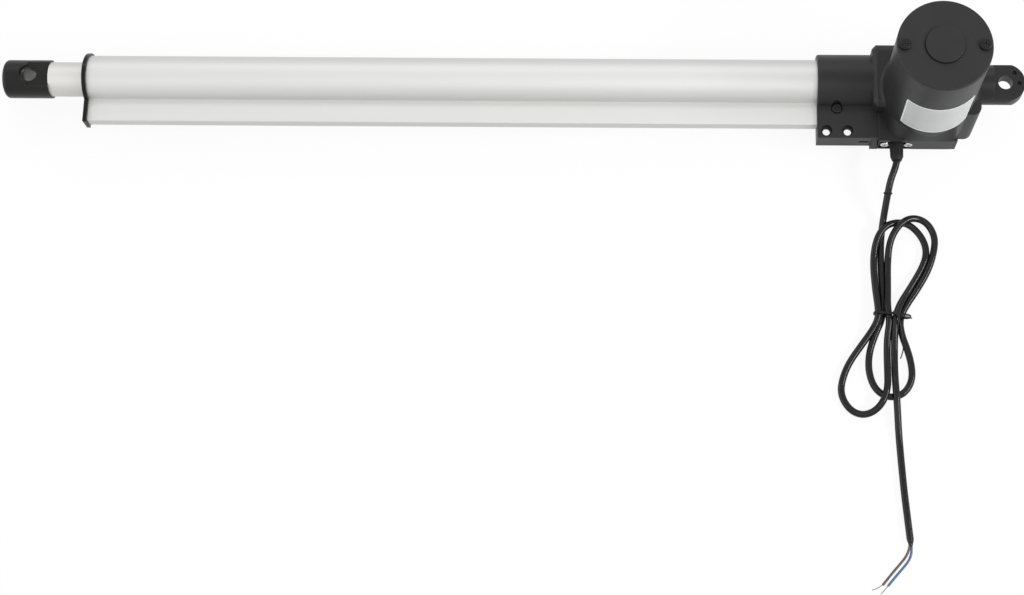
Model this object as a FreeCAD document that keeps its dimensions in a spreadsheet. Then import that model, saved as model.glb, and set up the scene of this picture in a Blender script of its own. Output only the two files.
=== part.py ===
import FreeCAD, Part
import math
import os
import re
import Sketcher

from FreeCAD import Placement, Rotation, Vector

# Electric linear actuator, in millimetres.
# +X runs along the rod the way it extends, +Z up the motor and +Y to the side of the wiring channel.
# The origin is in the rear pin hole, on the axis of the tube.

doc = FreeCAD.newDocument("linear_actuator")

# Driving dimensions: one cell of the sheet each
sizes = {
    # travel and fits
    "stroke": 500,
    "press_gap": 0.02,
    "running_gap": 0.05,
    "seat_gap": 0.15,
    "slide_gap": 0.3,
    # keyhole profile
    "tube_radius": 17,
    "tube_wall": 2,
    "channel_reach": 33,
    "channel_thick": 8.6,
    "channel_wall": 1.6,
    "channel_round": 0.8,
    "socket_depth": 37,
    # front cap, wiper and guide bush
    "cap_thick": 3,
    "cap_lip": 1.7,
    "cap_side": 1.9,
    "cap_foot": 1.3,
    "cap_round": 0.9,
    "cap_tongue": 8,
    "wiper_thick": 2.5,
    "bush_length": 16,
    # rod, nut and front eye
    "rod_radius": 12.25,
    "rod_wall": 2.2,
    "rod_show": 25.5,
    "nut_gap": 6,
    "nut_length": 28,
    "nut_spigot": 14,
    "end_margin": 2,
    "eye_radius": 13.6,
    "eye_back": 14,
    "eye_tip": 18.5,
    "eye_thick": 20,
    "eye_mill": 6.3,
    "eye_mill_lead": 1.5,
    "eye_round": 3,
    "eye_chamfer": 0.6,
    "eye_spigot": 14,
    "pin_bore": 10.2,
    # lead screw and its bearings
    "screw_radius": 7,
    "journal_radius": 6,
    "tip_radius": 4,
    "tip_bush_length": 6,
    "tip_margin": 2,
    "bearing_radius": 16,
    "bearing_width": 10,
    "race_wall": 3.2,
    "race_gap": 0.3,
    "spacer_wall": 2,
    "retainer_thick": 10,
    "retainer_bore": 9,
    # worm drive
    "wheel_teeth": 20,
    "gear_module": 0.9,
    "wheel_width": 12,
    "worm_pitch": 8,
    "worm_length": 20,
    "worm_room": 6.5,
    "shaft_radius": 2.5,
    "worm_bush_radius": 5,
    "worm_bush_length": 6,
    # rear tang
    "tang_reach": 21,
    "tang_width": 28.5,
    "tang_thick": 10,
    "tang_neck": 12,
    "tang_flange": 4,
    "dimple_radius": 1.8,
    "dimple_depth": 2,
    # gear housing
    "rear_wall": 3,
    "block_shoulder": 0.9,
    "block_wall": 6.5,
    "block_drop": 25,
    "block_round": 6,
    "block_bevel": 2.7,
    "heel_reach": 6.9,
    "heel_round": 6,
    "worm_wall": 5.5,
    "sleeve_length": 38.7,
    "sleeve_wall": 3.65,
    "sleeve_round": 1.5,
    "plate_top": 6.5,
    "plate_drop": 9,
    "plate_rear": 15.2,
    "plate_step": 0.8,
    "plate_proud": 0.3,
    "ear_reach": 10.5,
    "ear_start": 4.8,
    "ear_wall": 2.5,
    "ear_thick": 5,
    "ear_hole_reach": 5,
    "ear_hole_inset": 6.5,
    "ear_hole_pitch": 15,
    "ear_hole_radius": 2.6,
    "ear_sink_radius": 4.1,
    "ear_sink_depth": 3,
    "slot_length": 7,
    "slot_height": 2.6,
    "slot_depth": 1.5,
    "slot_inset": 33.4,
    "rib_width": 5.5,
    "rib_top_width": 3,
    "rib_reach": 2.2,
    "rib_drop": 0.6,
    # motor tower and cap
    "floor_thick": 1.5,
    "bay_room": 6.6,
    "tower_wall": 4.4,
    "tower_draft": 0.1,
    "tower_fillet": 3,
    "column_radius": 3.8,
    "column_gap": 1.6,
    "motor_cap_thick": 2,
    "motor_cap_spigot": 4.5,
    "motor_cap_round": 0.7,
    "motor_cap_seam": 0.4,
    "motor_boss_radius": 13.8,
    "motor_boss_height": 1.5,
    # motor
    "can_radius": 21.4,
    "can_wall": 1.6,
    "can_length": 61.3,
    "can_floor": 2,
    "magnet_thick": 2.5,
    "magnet_length": 44,
    "magnet_angle": 140,
    "air_gap": 0.7,
    "winding_margin": 3.3,
    "winding_radius": 14,
    "winding_length": 6,
    "commutator_radius": 7,
    "commutator_length": 6,
    "commutator_margin": 2,
    "brush_width": 5,
    "brush_length": 7,
    "brush_plate_thick": 3,
    "brush_plate_bore": 9,
    "damper_bore": 10,
    "damper_thick": 5,
    # screws
    "screw_head_radius": 4.1,
    "screw_head_height": 2.2,
    "screw_shank_radius": 1.7,
    "screw_shank_length": 15,
    "tube_screw_radius": 3.7,
    "tube_screw_height": 2.2,
    "tube_screw_shank": 1.9,
    "tube_screw_sink": 1,
    "gland_screw_radius": 3.2,
    "gland_screw_height": 2,
    "gland_screw_shank": 1.4,
    "gland_screw_length": 8,
    "gland_screw_proud": 0.4,
    "recess_width": 0.9,
    "recess_depth": 1.1,
    # cable gland and passage
    "gland_side": 21.2,
    "gland_radius": 4.9,
    "gland_neck_radius": 4.6,
    "gland_tip_radius": 3.3,
    "gland_length": 12.1,
    "gland_taper": 3,
    "gland_margin": 1,
    "gland_root": 6,
    "passage_radius": 3.4,
    "passage_side": 17,
    "passage_reach": 17,
    # limit switches
    "strip_thick": 1.6,
    "strip_inset": 4,
    "switch_length": 12,
    "switch_height": 6,
    # cord and its two cores
    "cord_radius": 2.5,
    "core_wire_radius": 0.95,
    "hank_height": 10,
}

sheet = doc.addObject("Spreadsheet::Sheet", "sizes")
for row, (name, number) in enumerate(sizes.items(), start=1):
    sheet.set(f"A{row}", name)
    sheet.set(f"B{row}", str(number))
    sheet.setAlias(f"B{row}", name)
doc.recompute()

# Places and sizes that follow from the driving dimensions
bay_radius = "(can_radius + bay_room)"
tower_foot = "(can_radius + bay_room + tower_wall)"
tower_top = "(can_radius + bay_room + tower_wall - tower_draft)"
block_reach = f"({tower_foot} + tower_fillet + block_shoulder)"
motor_x = f"(tang_reach + {block_reach})"
motor_y = "((wheel_teeth * gear_module + worm_pitch) / 2)"
block_end = f"({motor_x} + {block_reach} + block_bevel)"
block_half = "(bearing_radius + press_gap + block_wall)"
block_front = f"({motor_y} + worm_room + worm_wall)"
bore_radius = "(bearing_radius + press_gap)"
sleeve_end = f"({block_end} + sleeve_length)"
sleeve_radius = "(tube_radius + seat_gap + sleeve_wall)"
plate_front = f"({motor_y} + {tower_foot} + plate_proud)"
plate_level = "(plate_top + plate_step)"
plate_start = "(tang_reach + plate_rear)"
plate_middle = "((plate_top - plate_drop) / 2)"
ear_front = "(channel_reach + ear_reach)"
ear_end = f"({block_end} - ear_start)"
ear_hole_y = "(channel_reach + ear_hole_reach)"
tube_start = f"({sleeve_end} - socket_depth)"
tube_bore = "(tube_radius - tube_wall)"
channel_half = "(channel_thick / 2)"
slot_half = "(channel_thick / 2 - channel_wall)"
nut_start = f"({tube_start} + nut_gap)"
nut_end = f"({nut_start} + nut_length)"
tube_end = f"({nut_end} + stroke + end_margin + bush_length + wiper_thick)"
cap_face = f"({tube_end} + cap_thick)"
eye_start = f"({cap_face} + rod_show)"
eye_hole = f"({eye_start} + eye_back)"
rod_bore = "(rod_radius - rod_wall)"
race_radius = "(journal_radius + press_gap + race_wall)"
rear_bearing_x = "(tang_reach + rear_wall + tang_flange)"
front_bearing_x = f"({tube_start} - retainer_thick - bearing_width)"
wheel_x = f"({motor_x} - wheel_width / 2)"
tip_x = f"({nut_end} + nut_spigot + stroke + tip_margin)"
wheel_tip = "(gear_module * (wheel_teeth / 2 + 1))"
wheel_root = "(gear_module * (wheel_teeth / 2 - 1.25))"
bay_floor = f"({block_half} + floor_thick)"
bay_depth = "(can_length + brush_plate_thick + damper_thick + motor_cap_spigot)"
tower_end = f"({bay_floor} + {bay_depth})"
column_reach = "(can_radius + column_gap + column_radius)"
can_end = f"({bay_floor} + can_length)"
damper_z = f"({can_end} + brush_plate_thick)"
spigot_z = f"({tower_end} - motor_cap_spigot)"
cap_top = f"({tower_end} + motor_cap_thick)"
core_radius = "(can_radius - can_wall - press_gap - magnet_thick - air_gap)"
commutator_z = f"({can_end} - commutator_margin - commutator_length)"
core_z = f"({bay_floor} + can_floor + winding_margin + winding_length)"
core_length = f"({commutator_z} - winding_length - {core_z})"
magnet_z = f"({core_z} + {core_length} / 2 - magnet_length / 2)"
worm_bush_z = "(-worm_length / 2 - worm_bush_length - slide_gap)"
gland_x = f"({motor_x} + gland_side)"
gland_screw_reach = "(gland_radius + slide_gap + gland_screw_radius)"
gland_seat = f"({plate_front} + gland_screw_proud - gland_screw_height)"
tube_screw_x = f"({sleeve_end} - ear_hole_inset - ear_hole_pitch / 2)"
tube_screw_y = "(tube_radius + seat_gap + tube_screw_radius + slide_gap)"
strip_y = "(channel_reach - channel_wall - seat_gap - strip_thick)"

along = {
    "x": Rotation(Vector(0, 1, 0), 90),
    "y": Rotation(Vector(1, 0, 0), -90),
    "z": Rotation(),
}
nodes = []


def rule(text):
    # an expression in which each size's name points at its cell
    return re.sub(r"[a-z_]+", lambda word: f"sizes.{word[0]}" if word[0] in sizes else word[0], text)


def bind(thing, **rules):
    for name, text in rules.items():
        thing.setExpression(name, rule(text))


def place(thing, at):
    for letter, text in zip("xyz", at):
        thing.setExpression(f"Placement.Base.{letter}", rule(text))


def node(label, thing):
    thing.Label = label
    nodes.append(thing)
    return thing


def box(low, high):
    thing = doc.addObject("Part::Box", "box")
    length, width, height = (f"({b}) - ({a})" for a, b in zip(low, high))
    bind(thing, Length=length, Width=width, Height=height)
    place(thing, low)
    return thing


def cylinder(axis, at, radius, length):
    thing = doc.addObject("Part::Cylinder", "cylinder")
    thing.Placement = Placement(Vector(), along[axis])
    bind(thing, Radius=radius, Height=length)
    place(thing, at)
    return thing


def cone(axis, at, radius, end_radius, length):
    thing = doc.addObject("Part::Cone", "cone")
    thing.Placement = Placement(Vector(), along[axis])
    bind(thing, Radius1=radius, Radius2=end_radius, Height=length)
    place(thing, at)
    return thing


def fuse(*things):
    thing = doc.addObject("Part::MultiFuse", "fuse")
    thing.Shapes = list(things)
    thing.Refine = True
    return thing


def cut(base, *tools):
    # one cut after the other, so that touching tools never have to be joined
    for tool in tools:
        thing = doc.addObject("Part::Cut", "cut")
        thing.Base = base
        thing.Tool = tool
        thing.Refine = True
        base = thing
    return base


def common(*things):
    thing = doc.addObject("Part::MultiCommon", "common")
    thing.Shapes = list(things)
    thing.Refine = True
    return thing


def ring(axis, at, radius, bore, length):
    return cut(cylinder(axis, at, radius, length), cylinder(axis, at, bore, length))


def rounded(base, radius, chosen, kind="Fillet"):
    # a fillet, or a chamfer, along the edges that the test picks
    doc.recompute()
    edges = [i for i, edge in enumerate(base.Shape.Edges, start=1) if chosen(edge)]
    thing = doc.addObject(f"Part::{kind}", kind.lower())
    thing.Base = base
    thing.Edges = [(i, radius, radius) for i in edges]
    return thing


def runs_along(edge, direction):
    straight = isinstance(edge.Curve, Part.Line)
    return straight and abs(edge.tangentAt(edge.FirstParameter).dot(direction)) > 0.999


def lies_at(edge, letter, place_there):
    points = [getattr(vertex.Point, letter) for vertex in edge.Vertexes]
    return all(abs(p - place_there) < 1e-4 for p in points)


def turned(label, axis, at, outline):
    # a body of revolution: the outline gives (place along the axis, radius), both from the body's origin
    body = doc.addObject("PartDesign::Body", label)
    planes = {feature.Role: feature for feature in body.Origin.OriginFeatures}
    sketch = body.newObject("Sketcher::SketchObject", "outline")
    sketch.AttachmentSupport = [(planes["XY_Plane" if axis == "x" else "XZ_Plane"], "")]
    sketch.MapMode = "FlatFace"
    polygon(sketch, [(a, r) if axis == "x" else (r, a) for a, r in outline])
    solid = body.newObject("PartDesign::Revolution", "turned")
    solid.Profile = sketch
    solid.ReferenceAxis = (sketch, ["H_Axis" if axis == "x" else "V_Axis"])
    solid.Angle = 360
    place(body, at)
    return node(label, body)


def polygon(sketch, points):
    count = len(points)
    spots = [Vector(1 + i, 1 + i * i, 0) for i in range(count)]
    for i in range(count):
        sketch.addGeometry(Part.LineSegment(spots[i], spots[(i + 1) % count]), False)
    for i in range(count):
        sketch.addConstraint(Sketcher.Constraint("Coincident", i, 2, (i + 1) % count, 1))
    for i, point in enumerate(points):
        for kind, text, zero_axis in zip(("DistanceX", "DistanceY"), point, (-2, -1)):
            if text == "0":
                sketch.addConstraint(Sketcher.Constraint("PointOnObject", i, 1, zero_axis))
                continue
            spot = spots[i].x if kind == "DistanceX" else spots[i].y
            number = sketch.addConstraint(Sketcher.Constraint(kind, -1, 1, i, 1, spot))
            sketch.setExpression(f"Constraints[{number}]", rule(text))


def value(name):
    return float(sheet.get(name))


# Fixed frame: profile, cap and guides


def keyhole(start, length, radius, half, reach):
    # round tube and flat channel on its +Y side
    round_part = cylinder("x", (start, "0", "0"), radius, length)
    channel = box((start, "0", f"-({half})"), (f"{start} + {length}", reach, half))
    return fuse(round_part, channel)


def make_tube():
    length = f"({tube_end} - {tube_start})"
    outside = keyhole(tube_start, length, "tube_radius", channel_half, "channel_reach")
    corner = value("channel_reach")
    along_x = Vector(1, 0, 0)
    outside = rounded(
        outside,
        value("channel_round"),
        lambda edge: runs_along(edge, along_x) and lies_at(edge, "y", corner),
    )
    inside = keyhole(tube_start, length, tube_bore, slot_half, "channel_reach - channel_wall")
    hole = cylinder("z", (tube_screw_x, tube_screw_y, "0"), "tube_screw_shank + seat_gap", "channel_thick")
    node("outer_tube", cut(outside, inside, hole))


def make_front_cap():
    reach = "channel_reach + cap_foot"
    plate = keyhole(tube_end, "cap_thick", "tube_radius + cap_lip", f"({channel_half} + cap_side)", reach)
    doc.recompute()
    front = plate.Shape.BoundBox.XMax
    plate = rounded(plate, value("cap_round"), lambda edge: lies_at(edge, "x", front))
    hole = cylinder("x", (tube_end, "0", "0"), "rod_radius + slide_gap", "cap_thick")
    tongue = box(
        (f"{tube_end} - cap_tongue", "tube_radius", f"seat_gap - {slot_half}"),
        (tube_end, "channel_reach - channel_wall - seat_gap", f"{slot_half} - seat_gap"),
    )
    node("front_cap", fuse(cut(plate, hole), tongue))


def make_guides():
    wiper_x = f"({tube_end} - wiper_thick)"
    outside = f"{tube_bore} - press_gap"
    node("rod_wiper", ring("x", (wiper_x, "0", "0"), outside, "rod_radius + slide_gap", "wiper_thick"))
    bush_x = f"({wiper_x} - bush_length)"
    node("guide_bush", ring("x", (bush_x, "0", "0"), outside, "rod_radius + running_gap", "bush_length"))


# Rod that slides: eye, tube and nut


def make_front_eye():
    body = cylinder("x", (eye_start, "0", "0"), "eye_radius", "eye_back + eye_tip")
    doc.recompute()
    tip = body.Shape.BoundBox.XMax
    body = rounded(body, value("eye_round"), lambda edge: lies_at(edge, "x", tip))
    spigot_x = f"{eye_start} - eye_spigot"
    spigot = cylinder("x", (spigot_x, "0", "0"), f"{rod_bore} - press_gap", "eye_spigot + eye_back / 2")
    hole = cylinder("z", (eye_hole, "0", "-eye_radius"), "pin_bore / 2", "eye_radius * 2")
    flats = []
    for low, high in (("eye_thick / 2", "eye_radius"), ("-eye_radius", "-eye_thick / 2")):
        flats.append(cylinder("z", (eye_hole, "0", low), "eye_mill", f"({high}) - ({low})"))
        flats.append(
            box((eye_start, "-eye_radius", low), (f"{eye_hole} + eye_mill_lead", "eye_radius", high))
        )
    sink = "pin_bore / 2 + eye_chamfer"
    sinks = [
        cone("z", (eye_hole, "0", "eye_thick / 2 - eye_chamfer"), "pin_bore / 2", sink, "eye_chamfer"),
        cone("z", (eye_hole, "0", "-eye_thick / 2"), sink, "pin_bore / 2", "eye_chamfer"),
    ]
    node("front_eye", cut(fuse(body, spigot), hole, *flats, *sinks))


def make_rod():
    length = f"{eye_start} - {nut_end}"
    node("rod", ring("x", (nut_end, "0", "0"), "rod_radius", rod_bore, length))


def make_drive_nut():
    body = cylinder("x", (nut_start, "0", "0"), f"{tube_bore} - slide_gap", "nut_length")
    key = box(
        (nut_start, "0", f"slide_gap - {slot_half}"),
        (nut_end, f"{strip_y} - switch_height - slide_gap", f"{slot_half} - slide_gap"),
    )
    spigot = cylinder("x", (nut_start, "0", "0"), f"{rod_bore} - press_gap", "nut_length + nut_spigot")
    bore = cylinder("x", (nut_start, "0", "0"), "screw_radius + running_gap", "nut_length + nut_spigot")
    node("drive_nut", cut(fuse(body, key, spigot), bore))


# Screw that turns: screw, worm wheel, spacers and inner rings


def make_lead_screw():
    start = rear_bearing_x
    shoulder = f"{front_bearing_x} + bearing_width - {start}"
    tip = f"{tip_x} - {start}"
    end = f"{tip} + tip_bush_length"
    turned(
        "lead_screw",
        "x",
        (start, "0", "0"),
        [
            ("0", "0"),
            ("0", "journal_radius"),
            (shoulder, "journal_radius"),
            (shoulder, "screw_radius"),
            (tip, "screw_radius"),
            (tip, "tip_radius"),
            (end, "tip_radius"),
            (end, "0"),
        ],
    )
    bush_radius = f"{rod_bore} - slide_gap"
    node("tip_bush", ring("x", (tip_x, "0", "0"), bush_radius, "tip_radius + press_gap", "tip_bush_length"))


def make_worm_wheel():
    body = doc.addObject("PartDesign::Body", "worm_wheel")
    planes = {feature.Role: feature for feature in body.Origin.OriginFeatures}
    hub = body.newObject("Sketcher::SketchObject", "hub")
    hub.AttachmentSupport = [(planes["YZ_Plane"], "")]
    hub.MapMode = "FlatFace"
    for text in (wheel_root, "journal_radius + press_gap"):
        circle = hub.addGeometry(Part.Circle(Vector(), Vector(0, 0, 1), 5 + hub.GeometryCount), False)
        hub.addConstraint(Sketcher.Constraint("Coincident", circle, 3, -1, 1))
        number = hub.addConstraint(Sketcher.Constraint("Radius", circle, 5 + circle))
        hub.setExpression(f"Constraints[{number}]", rule(text))
    disc = body.newObject("PartDesign::Pad", "disc")
    disc.Profile = hub
    bind(disc, Length="wheel_width")
    tooth = body.newObject("Sketcher::SketchObject", "tooth")
    tooth.AttachmentSupport = [(planes["YZ_Plane"], "")]
    tooth.MapMode = "FlatFace"
    polygon(
        tooth,
        [
            ("-gear_module", f"{wheel_root} - gear_module"),
            ("gear_module", f"{wheel_root} - gear_module"),
            ("gear_module * 0.42", wheel_tip),
            ("gear_module * -0.42", wheel_tip),
        ],
    )
    pad = body.newObject("PartDesign::Pad", "tooth_pad")
    pad.Profile = tooth
    bind(pad, Length="wheel_width")
    teeth = body.newObject("PartDesign::PolarPattern", "teeth")
    teeth.Originals = [pad]
    teeth.Axis = (planes["X_Axis"], [""])
    teeth.Angle = 360
    bind(teeth, Occurrences="wheel_teeth")
    body.Tip = teeth
    place(body, (wheel_x, "0", "0"))
    node("worm_wheel", body)


def make_spacers():
    bore = "journal_radius + press_gap"
    outside = "journal_radius + spacer_wall"
    rear_x = f"{rear_bearing_x} + bearing_width"
    front_x = f"{wheel_x} + wheel_width"
    node("rear_spacer", ring("x", (rear_x, "0", "0"), outside, bore, f"{wheel_x} - ({rear_x})"))
    node("front_spacer", ring("x", (front_x, "0", "0"), outside, bore, f"{front_bearing_x} - ({front_x})"))


def make_bearings():
    for side, x in (("rear", rear_bearing_x), ("front", front_bearing_x)):
        at = (x, "0", "0")
        outer_bore = f"{race_radius} + race_gap"
        node(f"{side}_bearing", ring("x", at, "bearing_radius", outer_bore, "bearing_width"))
        inner_bore = "journal_radius + press_gap"
        node(f"{side}_race", ring("x", at, race_radius, inner_bore, "bearing_width"))
    at = (f"{tube_start} - retainer_thick", "0", "0")
    node("bearing_retainer", ring("x", at, "bearing_radius", "retainer_bore", "retainer_thick"))


# Rear tang


def make_rear_tang():
    half = "tang_width / 2"
    round_part = cylinder("x", (f"-{half}", "0", "0"), half, f"{half} + tang_reach + rear_wall")
    nose = cylinder("z", ("0", "0", f"-{half}"), half, "tang_width")
    behind = box(("0", f"-{half}", f"-{half}"), ("tang_reach + rear_wall", half, half))
    flange = cylinder("x", ("tang_reach + rear_wall", "0", "0"), "bearing_radius", "tang_flange")
    hole = cylinder("z", ("0", "0", f"-{half}"), "pin_bore / 2", "tang_width")
    shoulder = "tang_reach - tang_neck"
    flats = [
        box((f"-{half}", f"-{half}", low), (shoulder, half, high))
        for low, high in (("tang_thick / 2", half), (f"-{half}", "-tang_thick / 2"))
    ]
    dimple_at = "(tang_width / 2 + pin_bore / 2) / 2"
    dimples = [
        cylinder(
            "z",
            (f"-{dimple_at} * cos({turn})", f"-{dimple_at} * sin({turn})", "tang_thick / 2 - dimple_depth"),
            "dimple_radius",
            "dimple_depth * 2",
        )
        for turn in (-4, 48)
    ]
    body = fuse(common(round_part, fuse(nose, behind)), flange)
    node("rear_tang", cut(body, hole, *flats, *dimples))


# Gear housing, one moulding


def make_housing():
    solid = housing_outside()
    tools = housing_bores() + motor_bay() + ear_cuts() + gland_cuts()
    node("gear_housing", cut(solid, *tools))


def housing_outside():
    block = box(
        ("tang_reach", f"-{block_half}", "-block_drop"),
        (block_end, block_front, block_half),
    )
    along_x = Vector(1, 0, 0)
    block = rounded(block, value("block_round"), lambda edge: runs_along(edge, along_x))
    doc.recompute()
    front = block.Shape.BoundBox.XMax
    block = rounded(block, value("block_bevel"), lambda edge: lies_at(edge, "x", front), "Chamfer")
    sleeve = cylinder("x", (motor_x, "0", "0"), sleeve_radius, f"{sleeve_end} - {motor_x}")
    doc.recompute()
    lip = sleeve.Shape.BoundBox.XMax
    sleeve = rounded(sleeve, value("sleeve_round"), lambda edge: lies_at(edge, "x", lip))
    ear = box((ear_end, "0", "-plate_drop"), (sleeve_end, ear_front, "plate_top"))
    plate = box((plate_start, "0", "-plate_drop"), (ear_end, plate_front, plate_level))
    tower = cone(
        "z",
        (motor_x, motor_y, "-plate_drop"),
        tower_foot,
        tower_top,
        f"{tower_end} + plate_drop",
    )
    doc.recompute()
    top = block.Shape.BoundBox.ZMax
    body = rounded(
        fuse(block, tower),
        value("tower_fillet"),
        lambda edge: lies_at(edge, "z", top) and not isinstance(edge.Curve, Part.Line),
    )
    return fuse(body, heel(), sleeve, ear, plate, buttress())


def heel():
    # the block's rear end is wider on the channel's side, with a round upright corner
    front = f"({block_front} + heel_reach)"
    block = box(("tang_reach", "0", "-block_drop"), (motor_x, front, block_half))
    doc.recompute()
    rear = block.Shape.BoundBox.XMin
    wide = block.Shape.BoundBox.YMax
    return rounded(
        block,
        value("heel_round"),
        lambda edge: lies_at(edge, "x", rear) and lies_at(edge, "y", wide),
    )


def buttress():
    # rib that runs out of the ear's front face and widens downwards, beside the cable gland
    thing = doc.addObject("Part::Wedge", "wedge")
    thing.Placement = Placement(Vector(), Rotation(Vector(1, 0, 0), 90))
    bind(
        thing,
        Ymin="-plate_drop - rib_drop",
        Xmin="-rib_width / 2",
        Xmax="rib_width / 2",
        Zmin=f"-{ear_front} - rib_reach",
        Zmax="-channel_reach",
        Ymax="plate_top",
        X2min="-rib_top_width / 2",
        X2max="rib_top_width / 2",
        Z2min=f"-{ear_front}",
        Z2max="-channel_reach",
    )
    place(thing, (f"{ear_end} + rib_width / 2", "0", "0"))
    return thing


def housing_bores():
    reach = f"({sleeve_end} - {tube_start})"
    socket = keyhole(
        tube_start,
        reach,
        "tube_radius + seat_gap",
        f"({channel_half} + seat_gap)",
        "channel_reach + seat_gap",
    )
    bore_x = "tang_reach + rear_wall"
    bore = cylinder("x", (bore_x, "0", "0"), bore_radius, f"{tube_start} - ({bore_x})")
    neck = cylinder("x", ("tang_reach", "0", "0"), "tang_width / 2 + seat_gap", "rear_wall")
    worm_z = f"{worm_bush_z} + worm_bush_length"
    worm = cylinder("z", (motor_x, motor_y, worm_z), "worm_room", f"{bay_floor} - ({worm_z})")
    bush = cylinder(
        "z",
        (motor_x, motor_y, worm_bush_z),
        "worm_bush_radius + press_gap",
        "worm_bush_length",
    )
    return [socket, bore, neck, worm, bush]


def column_places():
    return [(f"{motor_x} + {sign} * {column_reach}", motor_y) for sign in (1, -1)]


def motor_bay():
    bay = cylinder("z", (motor_x, motor_y, bay_floor), bay_radius, bay_depth)
    columns = [
        cylinder("z", (x, y, bay_floor), "column_radius", f"{bay_depth} - motor_cap_spigot")
        for x, y in column_places()
    ]
    depth = f"({cap_top} - screw_shank_length)"
    holes = [
        cylinder("z", (x, y, depth), "screw_shank_radius + press_gap", f"{tower_end} - {depth}")
        for x, y in column_places()
    ]
    return [cut(bay, *columns), *holes]


def ear_cuts():
    start = f"{block_end} + ear_wall"
    corner = (f"{sleeve_end} - ear_wall", f"{ear_front} - ear_wall")
    hollow = box((start, "channel_reach", "-plate_drop"), (*corner, "plate_top - ear_thick"))
    under = box((start, "channel_reach - ear_wall", "-plate_drop"), (*corner, f"-{channel_half}"))
    cuts = [hollow, under]
    for count in (0, 1):
        x = f"{sleeve_end} - ear_hole_inset - {count} * ear_hole_pitch"
        cuts.append(cylinder("z", (x, ear_hole_y, "plate_top - ear_thick"), "ear_hole_radius", "ear_thick"))
        sink_z = "plate_top - ear_sink_depth"
        cuts.append(cylinder("z", (x, ear_hole_y, sink_z), "ear_sink_radius", "ear_sink_depth"))
    at = (tube_screw_x, tube_screw_y, "plate_top - tube_screw_sink")
    cuts.append(cylinder("z", at, "tube_screw_radius + slide_gap", sleeve_radius))
    at = (tube_screw_x, tube_screw_y, "0")
    cuts.append(cylinder("z", at, "tube_screw_shank + press_gap", "plate_top"))
    slot_x = f"({sleeve_end} - slot_inset)"
    slot_z = f"({plate_middle} - slot_height / 2)"
    cuts.append(
        box(
            (f"{slot_x} - slot_length / 2", f"{ear_front} - slot_depth", slot_z),
            (f"{slot_x} + slot_length / 2", f"{ear_front} + slot_depth", f"{slot_z} + slot_height"),
        )
    )
    return cuts


def gland_screw_places():
    return [f"{gland_x} + {sign} * {gland_screw_reach}" for sign in (1, -1)]


def gland_cuts():
    passage_x = f"{motor_x} + passage_side"
    passage_y = f"{motor_y} + passage_reach"
    hole = cylinder("y", (gland_x, passage_y, plate_middle), "gland_radius + press_gap", tower_foot)
    riser = cylinder("z", (passage_x, passage_y, plate_middle), "passage_radius", f"{bay_floor} + plate_drop")
    wide = f"({gland_screw_reach} + gland_screw_radius + gland_margin)"
    high = "(gland_radius + gland_margin)"
    recess = box(
        (f"{gland_x} - {wide}", gland_seat, f"{plate_middle} - {high}"),
        (f"{gland_x} + {wide}", plate_front, f"{plate_middle} + {high}"),
    )
    cuts = [hole, riser, recess]
    for x in gland_screw_places():
        at = (x, f"{gland_seat} - gland_screw_length", plate_middle)
        cuts.append(cylinder("y", at, "gland_screw_shank + press_gap", "gland_screw_length"))
    return cuts


# Motor cap and screws


def make_motor_cap():
    radius = tower_top
    turned(
        "motor_cap",
        "z",
        (motor_x, motor_y, spigot_z),
        [
            ("0", "0"),
            ("0", f"{bay_radius} - seat_gap"),
            ("motor_cap_spigot", f"{bay_radius} - seat_gap"),
            ("motor_cap_spigot", f"{radius} - motor_cap_seam"),
            ("motor_cap_spigot + motor_cap_seam", radius),
            ("motor_cap_spigot + motor_cap_thick - motor_cap_round", radius),
            ("motor_cap_spigot + motor_cap_thick", f"{radius} - motor_cap_round"),
            ("motor_cap_spigot + motor_cap_thick", "motor_boss_radius"),
            ("motor_cap_spigot + motor_cap_thick + motor_boss_height", "motor_boss_radius - motor_cap_round"),
            ("motor_cap_spigot + motor_cap_thick + motor_boss_height", "0"),
        ],
    )
    whole = nodes.pop()
    whole.Label = "motor_cap_blank"
    holes = [
        cylinder("z", (x, y, spigot_z), "screw_shank_radius + seat_gap", f"{cap_top} - {spigot_z}")
        for x, y in column_places()
    ]
    node("motor_cap", cut(whole, *holes))


def cross_screw(axis, at, radius, height, shank, length):
    # pan head on its seat with a cross recess, and a plain shank the other way
    index = "xyz".index(axis)
    head = cylinder(axis, at, radius, height)
    back = list(at)
    back[index] = f"{at[index]} - {length}"
    stem = cylinder(axis, back, shank, length)
    bars = []
    for other in {"x", "y", "z"} - {axis}:
        low, high = list(at), list(at)
        for letter in "xyz":
            i = "xyz".index(letter)
            if letter == axis:
                low[i] = f"{at[i]} + {height} - recess_depth"
                high[i] = f"{at[i]} + {height}"
            else:
                reach = f"{radius} * 0.55" if letter == other else "recess_width / 2"
                low[i] = f"{at[i]} - {reach}"
                high[i] = f"{at[i]} + {reach}"
        bars.append(box(low, high))
    doc.recompute()
    top = getattr(head.Shape.BoundBox, f"{axis.upper()}Max")
    head = rounded(head, head.Height.Value * 0.4, lambda edge: lies_at(edge, axis, top))
    return cut(fuse(head, stem), *bars)


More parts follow.
